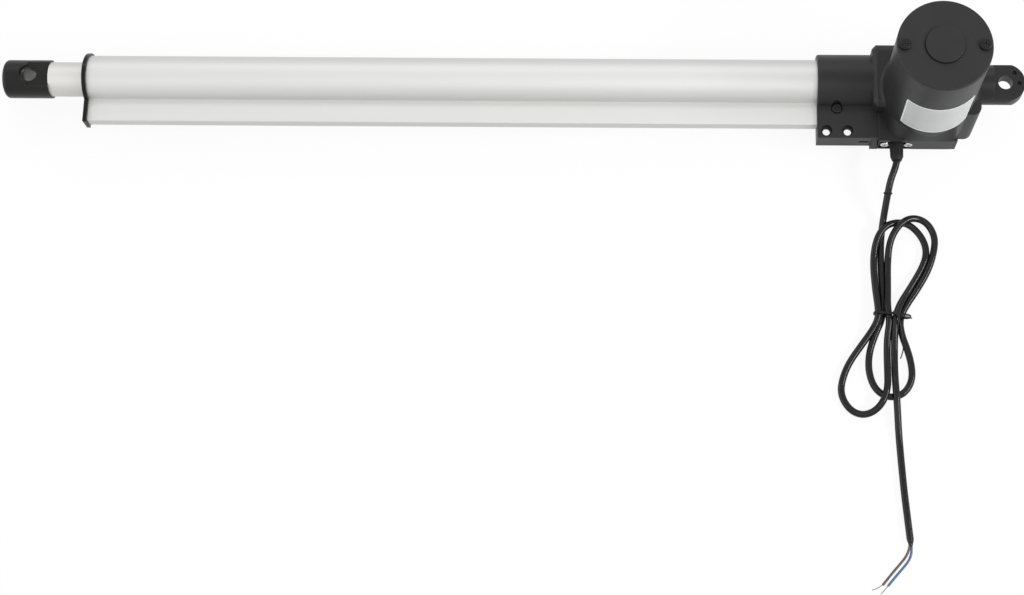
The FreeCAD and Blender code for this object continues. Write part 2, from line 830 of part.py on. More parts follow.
def make_screws():
    for side, (x, y) in zip(("front", "rear"), column_places()):
        screw = cross_screw(
            "z",
            (x, y, cap_top),
            "screw_head_radius",
            "screw_head_height",
            "screw_shank_radius",
            "screw_shank_length",
        )
        node(f"{side}_cap_screw", screw)
    tube_screw = cross_screw(
        "z",
        (tube_screw_x, tube_screw_y, "plate_top - tube_screw_sink"),
        "tube_screw_radius",
        "tube_screw_height",
        "tube_screw_shank",
        f"(plate_top - tube_screw_sink - {slot_half} - seat_gap)",
    )
    node("tube_screw", tube_screw)
    for side, x in zip(("front", "rear"), gland_screw_places()):
        screw = cross_screw(
            "y",
            (x, gland_seat, plate_middle),
            "gland_screw_radius",
            "gland_screw_height",
            "gland_screw_shank",
            "gland_screw_length",
        )
        node(f"{side}_gland_screw", screw)


def make_gland():
    root = cylinder(
        "y",
        (gland_x, f"{plate_front} - gland_root", plate_middle),
        "gland_radius",
        "gland_root",
    )
    straight = "(gland_length - gland_taper)"
    sleeve = cone(
        "y",
        (gland_x, plate_front, plate_middle),
        "gland_radius",
        "gland_neck_radius",
        straight,
    )
    tip = cone(
        "y",
        (gland_x, f"{plate_front} + {straight}", plate_middle),
        "gland_neck_radius",
        "gland_tip_radius",
        "gland_taper",
    )
    node("cable_gland", fuse(root, sleeve, tip))


# Motor


def make_motor():
    at = (motor_x, motor_y, bay_floor)
    shell = cylinder("z", at, "can_radius", "can_length")
    inside_z = f"{bay_floor} + can_floor"
    inside = cylinder("z", (motor_x, motor_y, inside_z), "can_radius - can_wall", "can_length - can_floor")
    shaft_hole = cylinder("z", at, "shaft_radius + running_gap", "can_floor")
    node("motor_can", cut(shell, inside, shaft_hole))
    at = (motor_x, motor_y, magnet_z)
    outer_radius = "can_radius - can_wall - press_gap"
    for side, turn in (("front", "-magnet_angle / 2"), ("rear", "180 - magnet_angle / 2")):
        outer = cylinder("z", at, outer_radius, "magnet_length")
        inner = cylinder("z", at, f"{outer_radius} - magnet_thick", "magnet_length")
        outer.setExpression("Angle", rule("magnet_angle"))
        outer.setExpression("Placement.Rotation.Angle", rule(turn))
        node(f"{side}_magnet", cut(outer, inner))
    plate = ring("z", (motor_x, motor_y, can_end), "can_radius", "brush_plate_bore", "brush_plate_thick")
    brush_z = f"({commutator_z} + commutator_length / 2 - brush_width / 2)"
    near = "(commutator_radius + slide_gap)"
    leg = f"({near} + brush_length / 2)"
    far = f"({near} + brush_length)"
    brushes = []
    for start, top in ((near, f"{brush_z} + brush_width"), (leg, f"{can_end} + brush_plate_thick / 2")):
        for low, high in ((start, far), (f"-{far}", f"-{start}")):
            brushes.append(
                box(
                    (f"{motor_x} + {low}", f"{motor_y} - brush_width / 2", brush_z),
                    (f"{motor_x} + {high}", f"{motor_y} + brush_width / 2", top),
                )
            )
    node("brush_plate", fuse(plate, *brushes))
    at = (motor_x, motor_y, damper_z)
    node("motor_damper", ring("z", at, "can_radius - can_wall", "damper_bore", "damper_thick"))


def make_armature():
    start = worm_bush_z
    worm_low = f"-worm_length / 2 - {start}"
    worm_high = f"worm_length / 2 - {start}"
    worm_root = f"{motor_y} - {wheel_tip} - slide_gap"
    end = f"{damper_z} - slide_gap - {start}"
    turned(
        "worm_shaft",
        "z",
        (motor_x, motor_y, start),
        [
            ("0", "0"),
            ("0", "shaft_radius"),
            (worm_low, "shaft_radius"),
            (worm_low, worm_root),
            (worm_high, worm_root),
            (worm_high, "shaft_radius"),
            (end, "shaft_radius"),
            (end, "0"),
        ],
    )
    bore = "shaft_radius + press_gap"
    node("armature_core", ring("z", (motor_x, motor_y, core_z), core_radius, bore, core_length))
    for side, z in (("lower", f"{core_z} - winding_length"), ("upper", f"{core_z} + {core_length}")):
        at = (motor_x, motor_y, z)
        node(f"{side}_winding", ring("z", at, "winding_radius", bore, "winding_length"))
    at = (motor_x, motor_y, commutator_z)
    node("commutator", ring("z", at, "commutator_radius", bore, "commutator_length"))
    at = (motor_x, motor_y, worm_bush_z)
    node("worm_bush", ring("z", at, "worm_bush_radius", "shaft_radius + running_gap", "worm_bush_length"))


# Limit switches in the wiring channel


def make_switches():
    half = f"({slot_half} - seat_gap)"
    start = f"({tube_start} + strip_inset)"
    end = f"({tube_end} - cap_tongue - strip_inset)"
    node("switch_strip", box((start, strip_y, f"-{half}"), (end, f"{strip_y} + strip_thick", half)))
    rear_x = f"({nut_start})"
    front_x = f"({nut_end} + stroke - switch_length)"
    for side, x in (("rear", rear_x), ("front", front_x)):
        switch = box(
            (x, f"{strip_y} - switch_height", f"-{half}"),
            (f"{x} + switch_length", strip_y, half),
        )
        node(f"{side}_switch", switch)


# Cord: lead from the gland, hank, tail and two bare-ended cores, laid on the ground

cord_level = value("cord_radius") - value("block_drop")
wire_level = value("core_wire_radius") - value("block_drop")

lead_points = [(78.5, 57.8, -1.25), (78.5, 70.5, -1.25), (82.3, 84.5, -9), (86.2, 96.3, -17.2)]
tail_points = [
    (81.3, 225.5, cord_level),
    (80.6, 255, cord_level),
    (77.9, 291, cord_level),
    (74.5, 325.5, cord_level),
]
brown_points = [
    (75.5, 325.5, cord_level),
    (78.2, 334.7, wire_level),
    (85, 344, wire_level),
    (94.9, 355, wire_level),
    (101.6, 358.6, wire_level),
]
blue_points = [
    (73.5, 325.5, cord_level),
    (75, 335, wire_level),
    (80, 344, wire_level),
    (86, 349.9, wire_level),
    (90.6, 355.8, wire_level),
    (95.6, 361.3, wire_level),
]

# the hank's waist, where it is tied, and its three lobes: (x, y, radius)
hank_waist = (83, 165, 11.4)
hank_lobes = [(72.8, 116, 24.6), (103, 220.5, 19), (85, 208, 18)]


def make_tube_along(label, radius, points):
    # straight runs joined by arcs, each as large as the shorter of its two runs allows
    start = Vector(*points[0])
    spots = [Vector(*point) - start for point in points]
    edges = []
    here = spots[0]
    for before, corner, after in zip(spots, spots[1:], spots[2:]):
        back = (before - corner).normalize()
        ahead = (after - corner).normalize()
        reach = 0.45 * min(before.distanceToPoint(corner), after.distanceToPoint(corner))
        half_turn = (math.pi - back.getAngle(ahead)) / 2
        bend = reach / math.tan(half_turn)
        depth = bend / math.cos(half_turn) - bend
        middle = corner + (back + ahead).normalize() * depth
        edges.append(Part.makeLine(here, corner + back * reach))
        edges.append(Part.Arc(corner + back * reach, middle, corner + ahead * reach).toShape())
        here = corner + ahead * reach
        print(f"{label}: turn {math.degrees(2 * half_turn):.1f} degrees, radius {bend:.1f} mm")
    edges.append(Part.makeLine(here, spots[-1]))
    path = Part.Wire(edges)
    section = Part.Wire(Part.makeCircle(radius, spots[0], spots[1] - spots[0]))
    thing = doc.addObject("Part::Feature", label)
    thing.Shape = path.makePipeShell([section], True, True)
    thing.Placement.Base = start
    share = thing.Shape.Volume / (math.pi * radius**2 * path.Length)
    print(f"{label}: length {path.Length:.1f} mm, volume {share:.4f} of section times length")
    return node(label, thing)


def teardrop(first, second, height):
    # prism over two circles and their outer tangents
    (x1, y1, r1), (x2, y2, r2) = first, second
    line = Vector(x2 - x1, y2 - y1, 0)
    heading = math.atan2(line.y, line.x)
    lean = math.acos((r1 - r2) / line.Length)

    def spot(x, y, r, turn):
        return Vector(x + r * math.cos(heading + turn), y + r * math.sin(heading + turn), 0)

    start, end = spot(x1, y1, r1, lean), spot(x1, y1, r1, -lean)
    far_start, far_end = spot(x2, y2, r2, lean), spot(x2, y2, r2, -lean)
    outline = Part.Wire(
        [
            Part.Arc(start, spot(x1, y1, r1, math.pi), end).toShape(),
            Part.makeLine(end, far_end),
            Part.Arc(far_end, spot(x2, y2, r2, 0), far_start).toShape(),
            Part.makeLine(far_start, start),
        ]
    )
    return Part.Face(outline).extrude(Vector(0, 0, height))


def make_hank():
    lobes = [teardrop(hank_waist, lobe, value("hank_height")) for lobe in hank_lobes]
    thing = doc.addObject("Part::Feature", "cable_hank")
    thing.Shape = lobes[0].multiFuse(lobes[1:]).removeSplitter()
    thing.Placement.Base = Vector(0, 0, -value("block_drop"))
    node("cable_hank", thing)


def make_cord():
    make_tube_along("cable_lead", value("cord_radius"), lead_points)
    make_hank()
    make_tube_along("cable_tail", value("cord_radius"), tail_points)
    make_tube_along("brown_wire", value("core_wire_radius"), brown_points)
    make_tube_along("blue_wire", value("core_wire_radius"), blue_points)


def check_and_write():
    doc.recompute()
    for thing in doc.Objects:
        if "Invalid" in thing.State or "Error" in thing.State:
            raise RuntimeError(f"{thing.Name} ({thing.Label}) failed: {thing.State}")
    os.makedirs("parts", exist_ok=True)
    for thing in nodes:
        shape = thing.Shape
        if shape.isNull() or not shape.isValid() or not shape.Solids:
            raise RuntimeError(f"{thing.Label} has no sound solid")
        print(f"{thing.Label:18s} {len(shape.Solids)} solid {shape.Volume:12.1f} mm3")
    for thing in nodes:
        thing.Shape.exportStep(f"parts/{thing.Label}.step")


make_tube()
make_front_cap()
make_guides()
make_front_eye()
make_rod()
make_drive_nut()
make_lead_screw()
make_worm_wheel()
make_spacers()
make_bearings()
make_rear_tang()
make_housing()
make_motor_cap()
make_screws()
make_gland()
make_motor()
make_armature()
make_switches()
make_cord()
check_and_write()
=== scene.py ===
import math
import bpy
import numpy as np
from mathutils import Matrix, Vector


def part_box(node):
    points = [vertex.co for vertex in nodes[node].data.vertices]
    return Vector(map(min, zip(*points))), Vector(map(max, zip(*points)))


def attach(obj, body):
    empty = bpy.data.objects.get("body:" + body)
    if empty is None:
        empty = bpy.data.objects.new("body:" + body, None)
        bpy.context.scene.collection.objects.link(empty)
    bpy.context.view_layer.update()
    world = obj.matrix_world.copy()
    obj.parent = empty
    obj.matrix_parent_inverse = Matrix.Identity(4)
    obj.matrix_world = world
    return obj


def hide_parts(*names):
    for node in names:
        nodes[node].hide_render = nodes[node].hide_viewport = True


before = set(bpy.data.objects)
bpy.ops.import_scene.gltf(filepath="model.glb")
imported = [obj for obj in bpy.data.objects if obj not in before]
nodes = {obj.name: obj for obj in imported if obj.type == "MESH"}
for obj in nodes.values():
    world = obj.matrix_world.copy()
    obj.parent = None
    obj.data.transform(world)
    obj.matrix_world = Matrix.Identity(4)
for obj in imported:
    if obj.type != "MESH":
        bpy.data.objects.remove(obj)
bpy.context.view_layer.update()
scene = bpy.context.scene
print("frame:", len(nodes), "solids")

# camera, looking down on the actuator from the side that the cable leaves
viewpoint = dict(place=(0.2529, 0.5409, 1.2991), tilt=16.343, roll=0.344, lens=68.73, sensor=36,
                 shift=-0.1344, clip=(0.05, 20))


def placeCamera(view):
    # the picture's right is -X; tilt leans the view away from straight down, roll turns it about itself
    tilt, roll = math.radians(view["tilt"]), math.radians(view["roll"])
    level = Vector((-1, 0, 0))
    rise = Vector((0, -math.cos(tilt), math.sin(tilt)))
    back = Vector((0, math.sin(tilt), math.cos(tilt)))
    across = level * math.cos(roll) + rise * math.sin(roll)
    upward = rise * math.cos(roll) - level * math.sin(roll)
    lens = bpy.data.cameras.new("viewpoint")
    lens.lens, lens.sensor_width, lens.shift_x = view["lens"], view["sensor"], view["shift"]
    lens.clip_start, lens.clip_end = view["clip"]
    eye = bpy.data.objects.new("viewpoint", lens)
    scene.collection.objects.link(eye)
    turned = Matrix((across, upward, back)).transposed().to_4x4()
    eye.matrix_world = Matrix.Translation(view["place"]) @ turned
    scene.camera = eye


placeCamera(viewpoint)
print("camera placed")

# materials: short ways to add nodes, two shared node groups, then one function for each kind of finish
grainLook = dict(scale=2600.0, blotch=30.0, fine=(3.0, 0.55), wide=(5.0, 0.6), spread=(0.3, 0.7))
edgeLook = dict(radius=0.0004, samples=6, span=(0.995, 0.86))


def isSocket(source):
    return isinstance(source, bpy.types.NodeSocket)


def addNode(tree, kind, links=(), **values):
    node = tree.nodes.new("ShaderNode" + kind)
    for key, value in values.items():
        setattr(node, key, value)
    for socket, source in links:
        if isSocket(source):
            tree.links.new(source, node.inputs[socket])
        else:
            node.inputs[socket].default_value = source
    return node


def reckon(tree, operation, *terms):
    return addNode(tree, "Math", enumerate(terms), operation=operation).outputs[0]


def reckonVector(tree, operation, *terms, output="Vector"):
    return addNode(tree, "VectorMath", enumerate(terms), operation=operation).outputs[output]


def rampUp(tree, value, first, last):
    # 0 at the first value, 1 at the last, straight between them
    links = [("Value", value), ("From Min", first), ("From Max", last)]
    return addNode(tree, "MapRange", links).outputs[0]


def mixValues(tree, share, first, second):
    links = [("Value", share), ("To Min", first), ("To Max", second)]
    return addNode(tree, "MapRange", links).outputs[0]


def mixColours(tree, share, first, second):
    # sockets 6 and 7 and output 2 are the mix node's colours
    first, second = (source if isSocket(source) else (*source, 1) for source in (first, second))
    return addNode(tree, "Mix", [(0, share), (6, first), (7, second)], data_type="RGBA").outputs[2]


def grey(value):
    return (value, value, value)


def startGroup(name, inputs, outputs):
    tree = bpy.data.node_groups.new(name, "ShaderNodeTree")
    for title, kind, value in inputs:
        socket = tree.interface.new_socket(title, in_out="INPUT", socket_type="NodeSocket" + kind)
        socket.default_value = value
    for title, kind in outputs:
        tree.interface.new_socket(title, in_out="OUTPUT", socket_type="NodeSocket" + kind)
    return tree, tree.nodes.new("NodeGroupInput"), tree.nodes.new("NodeGroupOutput")


def buildGrain(look):
    # fine noise for the height; wide blotches, spread from 0 to 1, for tone and gloss
    inputs = [("Scale", "Float", look["scale"]), ("Stretch", "Vector", (1, 1, 1)),
              ("Blotch", "Float", look["blotch"])]
    tree, given, result = startGroup("grain", inputs, [("Height", "Float"), ("Tone", "Float")])
    place = addNode(tree, "TexCoord")
    stretched = reckonVector(tree, "MULTIPLY", place.outputs["Object"], given.outputs["Stretch"])
    fine, wide = (addNode(tree, "TexNoise", [("Vector", stretched), ("Scale", given.outputs[size]),
                                             ("Detail", detail), ("Roughness", rough)]).outputs["Fac"]
                  for size, (detail, rough) in (("Scale", look["fine"]), ("Blotch", look["wide"])))
    tree.links.new(fine, result.inputs["Height"])
    tree.links.new(rampUp(tree, wide, *look["spread"]), result.inputs["Tone"])
    return tree


def buildSoftEdge(look):
    # rounds the shading of sharp edges, and marks them where the rounded normal leaves the true one
    tree, given, result = startGroup("softEdge", [("Radius", "Float", look["radius"])],
                                     [("Normal", "Vector"), ("Edge", "Float")])
    true = addNode(tree, "NewGeometry")
    eased = addNode(tree, "Bevel", [("Radius", given.outputs["Radius"])], samples=look["samples"])
    match = reckonVector(tree, "DOT_PRODUCT", eased.outputs[0], true.outputs["Normal"], output="Value")
    tree.links.new(eased.outputs[0], result.inputs["Normal"])
    tree.links.new(rampUp(tree, match, *look["span"]), result.inputs["Edge"])
    return tree


grainGroup = buildGrain(grainLook)
softEdgeGroup = buildSoftEdge(edgeLook)


def placeGroup(tree, group, **values):
    node = tree.nodes.new("ShaderNodeGroup")
    node.node_tree = group
    for socket, value in values.items():
        node.inputs[socket].default_value = value
    return node


def startFinish(name, **fixed):
    # what is the same all over the surface goes on the shader's own sockets, with _ for a space
    finish = bpy.data.materials.new(name)
    finish.use_nodes = True
    tree = finish.node_tree
    shader = tree.nodes["Principled BSDF"]
    for socket, value in fixed.items():
        shader.inputs[socket.replace("_", " ")].default_value = value
    return finish, tree, shader


def grainedFinish(name, dark, light, rough, bump, depth=0.0002, grain=None, edge=0.0, worn=None, **fixed):
    # tone and roughness run between their two values over the blotches, the grain gives the height,
    # and edges are eased by the edge radius and take a lighter colour, part edge wear and part painted
    # highlight
    finish, tree, shader = startFinish(name, **fixed)
    grained = placeGroup(tree, grainGroup, **(grain or {}))
    tone = grained.outputs["Tone"]
    colour = mixColours(tree, tone, dark, light)
    height = addNode(tree, "Bump", [("Height", grained.outputs["Height"]), ("Strength", bump),
                                    ("Distance", depth)])
    if edge:
        eased = placeGroup(tree, softEdgeGroup, Radius=edge)
        colour = mixColours(tree, eased.outputs["Edge"], colour, worn)
        tree.links.new(eased.outputs["Normal"], height.inputs["Normal"])
    tree.links.new(colour, shader.inputs["Base Color"])
    tree.links.new(mixValues(tree, tone, *rough), shader.inputs["Roughness"])
    tree.links.new(height.outputs[0], shader.inputs["Normal"])
    return finish


def openFinish(finish):
    tree = finish.node_tree
    return tree, tree.nodes["Principled BSDF"].inputs


def layOver(tree, socket, share, value, mix):
    # mixes a value over what already feeds a socket
    tree.links.new(mix(tree, share, socket.links[0].from_socket, value), socket)


def reachFrom(tree, axis):
    # distance from an axis along Z
    place = addNode(tree, "TexCoord")
    offset = reckonVector(tree, "SUBTRACT", place.outputs["Object"], (*axis, 0))
    flat = reckonVector(tree, "MULTIPLY", offset, (1, 1, 0))
    return reckonVector(tree, "LENGTH", flat, output="Value")


def ringShadeFinish(finish, axis, radius, width, fade, upright, shade, rough):
    # upright faces within a width of a circle about the axis take painted shade: a darker colour and full
    # roughness standing in for the shadow on the wall there
    tree, sockets = openFinish(finish)
    away = reckon(tree, "ABSOLUTE", reckon(tree, "SUBTRACT", reachFrom(tree, axis), radius))
    face = addNode(tree, "NewGeometry")
    split = addNode(tree, "SeparateXYZ", [(0, face.outputs["True Normal"])])
    share = reckon(tree, "MULTIPLY", rampUp(tree, away, width, width * fade),
                   rampUp(tree, split.outputs["Z"], *upright))
    layOver(tree, sockets["Base Color"], share, shade, mixColours)
    layOver(tree, sockets["Roughness"], share, rough, mixValues)
    return finish


def boredFinish(finish, axis, radius, rim, metal):
    # bare turned metal within a radius of the pin hole's axis, which runs along Z
    tree, sockets = openFinish(finish)
    inside = rampUp(tree, reachFrom(tree, axis), radius * rim, radius)
    layOver(tree, sockets["Base Color"], inside, metal, mixColours)
    tree.links.new(inside, sockets["Metallic"])
    return finish


def framedFinish(finish, width, border):
    # a frame of the border's colour where the UV is within its width of the sheet's edge
    tree, sockets = openFinish(finish)
    place = addNode(tree, "TexCoord")
    split = addNode(tree, "SeparateXYZ", [(0, place.outputs["UV"])])
    inFrame = []
    for axis, share in zip("XY", width):
        away = reckon(tree, "ABSOLUTE", reckon(tree, "SUBTRACT", split.outputs[axis], 0.5))
        inFrame.append(reckon(tree, "GREATER_THAN", away, 0.5 - share))
    layOver(tree, sockets["Base Color"], reckon(tree, "MAXIMUM", *inFrame), border, mixColours)
    return finish


capLow, capHigh = (np.array(corner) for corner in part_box("motor_cap"))
tower = dict(axis=(capLow + capHigh)[:2] / 2, wall=(capHigh - capLow)[0] / 2)
# painted shade round the side wall of the motor cap's raised boss
capBossShade = dict(axis=tower["axis"], radius=0.0137, width=0.0006, fade=0.8, upright=(0.95, 0.6),
                 shade=grey(0.001), rough=1.0)
pinHole = dict(axis=(0.695, 0.0), radius=0.0052, rim=1.03, metal=(0.095, 0.093, 0.090))

# the lighter edge colours given below are partly edge wear and partly painted highlight along the edges
black = dict(dark=(0.0136, 0.0136, 0.0144), light=(0.0166, 0.0166, 0.0176), rough=(0.40, 0.49), bump=0.16,
             edge=0.0005, worn=(0.020, 0.020, 0.021), Specular_IOR_Level=0.28)
mouldedBlack = grainedFinish("mouldedBlack", **black)
endBlack = grainedFinish(
    "endBlack", dark=(0.0040, 0.0040, 0.0042), light=(0.0055, 0.0055, 0.0058), rough=(0.24, 0.32),
    bump=0.08, edge=0.00025, worn=grey(0.012), Specular_IOR_Level=0.2)
bossShadedBlack = ringShadeFinish(grainedFinish("bossShadedBlack", **black), **capBossShade)
satinTube = grainedFinish(
    "satinTube", dark=(0.565, 0.567, 0.555), light=(0.595, 0.597, 0.583), rough=(0.56, 0.62), bump=0.10,
    grain=dict(Scale=900, Stretch=(0.02, 1, 1), Blotch=40), edge=0.0003, worn=grey(0.6), Metallic=1.0)
groundRod = grainedFinish(
    "groundRod", dark=(0.58, 0.575, 0.557), light=(0.61, 0.605, 0.586), rough=(0.56, 0.64), bump=0.06,
    grain=dict(Scale=1400, Stretch=(1, 0.05, 0.05), Blotch=25), Metallic=1.0)
eyeBlack = dict(dark=(0.0060, 0.0058, 0.0056), light=(0.0085, 0.0083, 0.0080), rough=(0.30, 0.40), bump=0.15,
                grain=dict(Scale=1500, Blotch=60), edge=0.0005, worn=(0.05, 0.049, 0.047),
                Specular_IOR_Level=0.24)
blackEye = boredFinish(grainedFinish("blackEye", **eyeBlack), **pinHole)
blackTang = grainedFinish(
    "blackTang", dark=grey(0.0060), light=(0.0095, 0.0095, 0.0092), rough=(0.34, 0.46), bump=0.2,
    grain=dict(Scale=1500, Blotch=60), edge=0.0006, worn=grey(0.03), Specular_IOR_Level=0.3)
brightZinc = grainedFinish(
    "brightZinc", dark=(0.38, 0.38, 0.385), light=(0.74, 0.74, 0.75), rough=(0.18, 0.34), bump=0.4,
    grain=dict(Scale=900, Blotch=420), Metallic=1.0)
# painted glint: the edges of the cross recess take a light grey so that they shine
blackScrew = grainedFinish(
    "blackScrew", dark=(0.004, 0.004, 0.0044), light=(0.007, 0.007, 0.0074), rough=(0.26, 0.38), bump=0.1,
    grain=dict(Scale=2000, Blotch=150), edge=0.00025, worn=grey(0.11), Specular_IOR_Level=0.24)
blackJacket = grainedFinish(
    "blackJacket", dark=(0.0065, 0.0065, 0.0068), light=(0.0085, 0.0085, 0.0088), rough=(0.11, 0.14),
    bump=0.004, grain=dict(Scale=1200, Blotch=90), Specular_IOR_Level=0.24)
brownCore = grainedFinish(
    "brownCore", dark=(0.070, 0.044, 0.033), light=(0.090, 0.056, 0.042), rough=(0.33, 0.42), bump=0.04,
    grain=dict(Scale=1500))
blueCore = grainedFinish(
    "blueCore", dark=(0.038, 0.092, 0.20), light=(0.049, 0.115, 0.24), rough=(0.33, 0.42), bump=0.04,
    grain=dict(Scale=1500))
tinnedCopper = grainedFinish(
    "tinnedCopper", dark=(0.20, 0.20, 0.195), light=(0.28, 0.28, 0.27), rough=(0.3, 0.4), bump=0.1,
    Metallic=1.0)
plainRubber = grainedFinish(
    "plainRubber", dark=grey(0.0056), light=grey(0.0082), rough=(0.48, 0.60), bump=0.12,
    Specular_IOR_Level=0.2)
turnedSteel = grainedFinish(
    "turnedSteel", dark=grey(0.5), light=grey(0.6), rough=(0.25, 0.35), bump=0.1, Metallic=1.0)
bearingBronze = grainedFinish(
    "bearingBronze", dark=(0.45, 0.26, 0.09), light=(0.55, 0.33, 0.12), rough=(0.3, 0.4), bump=0.1,
    Metallic=1.0)
whiteNylon = grainedFinish(
    "whiteNylon", dark=(0.70, 0.69, 0.64), light=(0.76, 0.75, 0.70), rough=(0.4, 0.5), bump=0.1)
darkMagnet = grainedFinish("darkMagnet", dark=grey(0.05), light=grey(0.08), rough=(0.5, 0.6), bump=0.2)
woundCopper = grainedFinish(
    "woundCopper", dark=(0.5, 0.17, 0.07), light=(0.6, 0.22, 0.09), rough=(0.3, 0.4), bump=0.3,
    grain=dict(Scale=900, Stretch=(1, 1, 4)), Metallic=1.0)
greenBoard = grainedFinish(
    "greenBoard", dark=(0.01, 0.07, 0.03), light=(0.015, 0.09, 0.04), rough=(0.4, 0.5), bump=0.05)

finishes = {
    mouldedBlack: ("gear_housing",),
    endBlack: ("front_cap",),
    bossShadedBlack: ("motor_cap",),
    satinTube: ("outer_tube",),
    groundRod: ("rod",),
    blackEye: ("front_eye",),
    blackTang: ("rear_tang",),
    brightZinc: ("front_gland_screw", "rear_gland_screw"),
    blackScrew: ("front_cap_screw", "rear_cap_screw", "tube_screw"),
    plainRubber: ("rod_wiper", "motor_damper", "cable_gland"),
    turnedSteel: ("lead_screw", "worm_shaft", "armature_core", "rear_bearing", "rear_race", "front_bearing",
                  "front_race", "motor_can", "rear_spacer", "front_spacer", "bearing_retainer"),
    bearingBronze: ("worm_bush", "drive_nut"),
    whiteNylon: ("worm_wheel", "tip_bush", "guide_bush", "brush_plate", "rear_switch", "front_switch"),
    darkMagnet: ("front_magnet", "rear_magnet"),
    woundCopper: ("lower_winding", "upper_winding", "commutator"),
    greenBoard: ("switch_strip",),
    blackJacket: ("cable_lead", "cable_hank", "cable_tail"),
    brownCore: ("brown_wire",),
    blueCore: ("blue_wire",),
}
for finish, names in finishes.items():
    for name in names:
        mesh = nodes[name].data
        mesh.materials.clear()
        mesh.materials.append(finish)
print("finishes:", len(finishes), "on", sum(len(names) for names in finishes.values()), "solids")


# surfaces: grids of points turned into meshes
def gridFaces(rows, columns, closed=False):
    # four-sided faces between neighbours of a grid, whose columns may close into a ring
    r, c = np.meshgrid(np.arange(rows - 1), np.arange(columns if closed else columns - 1), indexing="ij")
    corner, after = r * columns + c, r * columns + (c + 1) % columns
    return np.stack([corner, after, after + columns, corner + columns], -1).reshape(-1, 4)


def facedOut(points, faces):
    # a closed surface holds a positive volume: sum over the faces of corner . (corner x corner) / 6
    a, b, c, d = (points[faces[:, k]] for k in range(4))
    volume = (a * np.cross(b, c)).sum() + (a * np.cross(c, d)).sum()
    return faces if volume > 0 else faces[:, ::-1]


def putMesh(name, points, faces, finish, uv=None, crease=50):
    mesh = bpy.data.meshes.new(name)
    mesh.from_pydata(points.tolist(), [], faces.tolist())
    mesh.polygons.foreach_set("use_smooth", np.ones(len(mesh.polygons), dtype=bool))
    if uv is not None:
        corners = np.zeros(len(mesh.loops), dtype=np.int32)
        mesh.loops.foreach_get("vertex_index", corners)
        mesh.uv_layers.new(name="sheet").data.foreach_set("uv", uv[corners].ravel())
    mesh.set_sharp_from_angle(angle=math.radians(crease))
    mesh.materials.append(finish)
    mesh.update()
    piece = bpy.data.objects.new(name, mesh)
    scene.collection.objects.link(piece)
    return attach(piece, "frame")


def unit(vectors):
    return vectors / np.linalg.norm(vectors, axis=-1, keepdims=True)


def crossFrame(ahead, across):
    # two directions square to a heading: heading x across, and that x heading
    first = unit(np.cross(ahead, across))
    return first, np.cross(first, ahead)


def tubeAlong(path, across, half, sides=14, closed=False):
    # ring of points round each point of the path: point + cos t half[0] side + sin t half[1] over,
    # where side lies across the path and over stands on both; an open tube's ends close to a point
    around = np.vstack([path[-1:], path, path[:1]])
    ahead = np.gradient(around, axis=0)[1:-1] if closed else np.gradient(path, axis=0)
    over, side = crossFrame(unit(ahead), across)
    turn = np.linspace(0, 2 * np.pi, sides, endpoint=False)
    half = np.broadcast_to(half, (len(path), 2))
    points = (path[:, None] + np.cos(turn)[None, :, None] * half[:, None, :1] * side[:, None]
              + np.sin(turn)[None, :, None] * half[:, None, 1:] * over[:, None])
    if closed:
        points = np.concatenate([points, points[:1]])
    else:
        start, end = (np.broadcast_to(tip, points[:1].shape) for tip in (path[0], path[-1]))
        points = np.concatenate([start, points, end])
    faces = gridFaces(len(points), sides, closed=True)
    points = points.reshape(-1, 3)
    return points, facedOut(points, faces)


def closedSheet(front, back):
    # two grids of points, one behind the other, joined round their edges
    rows, columns = front.shape[:2]
    count = rows * columns
    index = np.arange(count).reshape(rows, columns)
    rim = np.concatenate([index[0, :-1], index[:-1, -1], index[-1, :0:-1], index[:0:-1, 0]])
    after = np.roll(rim, -1)
    edge = np.stack([rim, rim + count, after + count, after], -1)
    grid = gridFaces(rows, columns)
    points = np.concatenate([front.reshape(-1, 3), back.reshape(-1, 3)])
    return points, facedOut(points, np.concatenate([grid, grid[:, ::-1] + count, edge]))


def joined(parts):
    # several meshes as one, each one's faces counted on from the points before it
    starts = np.cumsum([0] + [len(points) for points, faces in parts[:-1]])
    return (np.concatenate([points for points, faces in parts]),
            np.concatenate([faces + start for (points, faces), start in zip(parts, starts)]))


def throughPoints(points, count):
    # a smooth line through a few points, in mm: Catmull-Rom, evenly spread over the spans
    knots = np.array(points, dtype=float) / 1000
    knots = np.vstack([2 * knots[0] - knots[1], knots, 2 * knots[-1] - knots[-2]])
    place = np.linspace(0, len(points) - 1, count)
    span = np.minimum(place.astype(int), len(points) - 2)
    t = (place - span)[:, None]
    p0, p1, p2, p3 = (knots[span + k] for k in range(4))
    square, cube = 2 * p0 - 5 * p1 + 4 * p2 - p3, 3 * p1 - p0 - 3 * p2 + p3
    return 0.5 * (2 * p1 + (p2 - p0) * t + square * t**2 + cube * t**3)


def roundTower(reach, turn, z):
    # point at a turn from +Y and a reach from the tower's axis: axis + reach (sin turn, cos turn), z
    x, y = tower["axis"]
    return np.stack([x + reach * np.sin(turn), y + reach * np.cos(turn), np.broadcast_to(z, turn.shape)], -1)


# tower: its round wall widens to the squared foot, and a thin blank label is bent round it
foot = dict(rear=0.0361, front=0.0863, face=0.0459, top=0.0206, full=0.0066, gland=(0.0680, 0.0700),
            base=(-0.0089, 0.0066), sunk=0.0004, corner=(16, 5), rows=26, columns=100)
label = dict(turn=(-50.0, 41.5), top=(0.0640, 0.0644), bottom=(0.0208, 0.0250), proud=0.00018, sunk=0.0002,
             corner=0.0012, rows=28, columns=60)
paper = dict(dark=(0.43, 0.435, 0.435), light=(0.48, 0.485, 0.485), rough=(0.32, 0.44), bump=0.05,
             depth=0.0001, grain=dict(Scale=1800, Blotch=70), Specular_IOR_Level=0.3)
blankPaper = framedFinish(grainedFinish("blankPaper", **paper), width=(0.022, 0.028), border=grey(0.68))


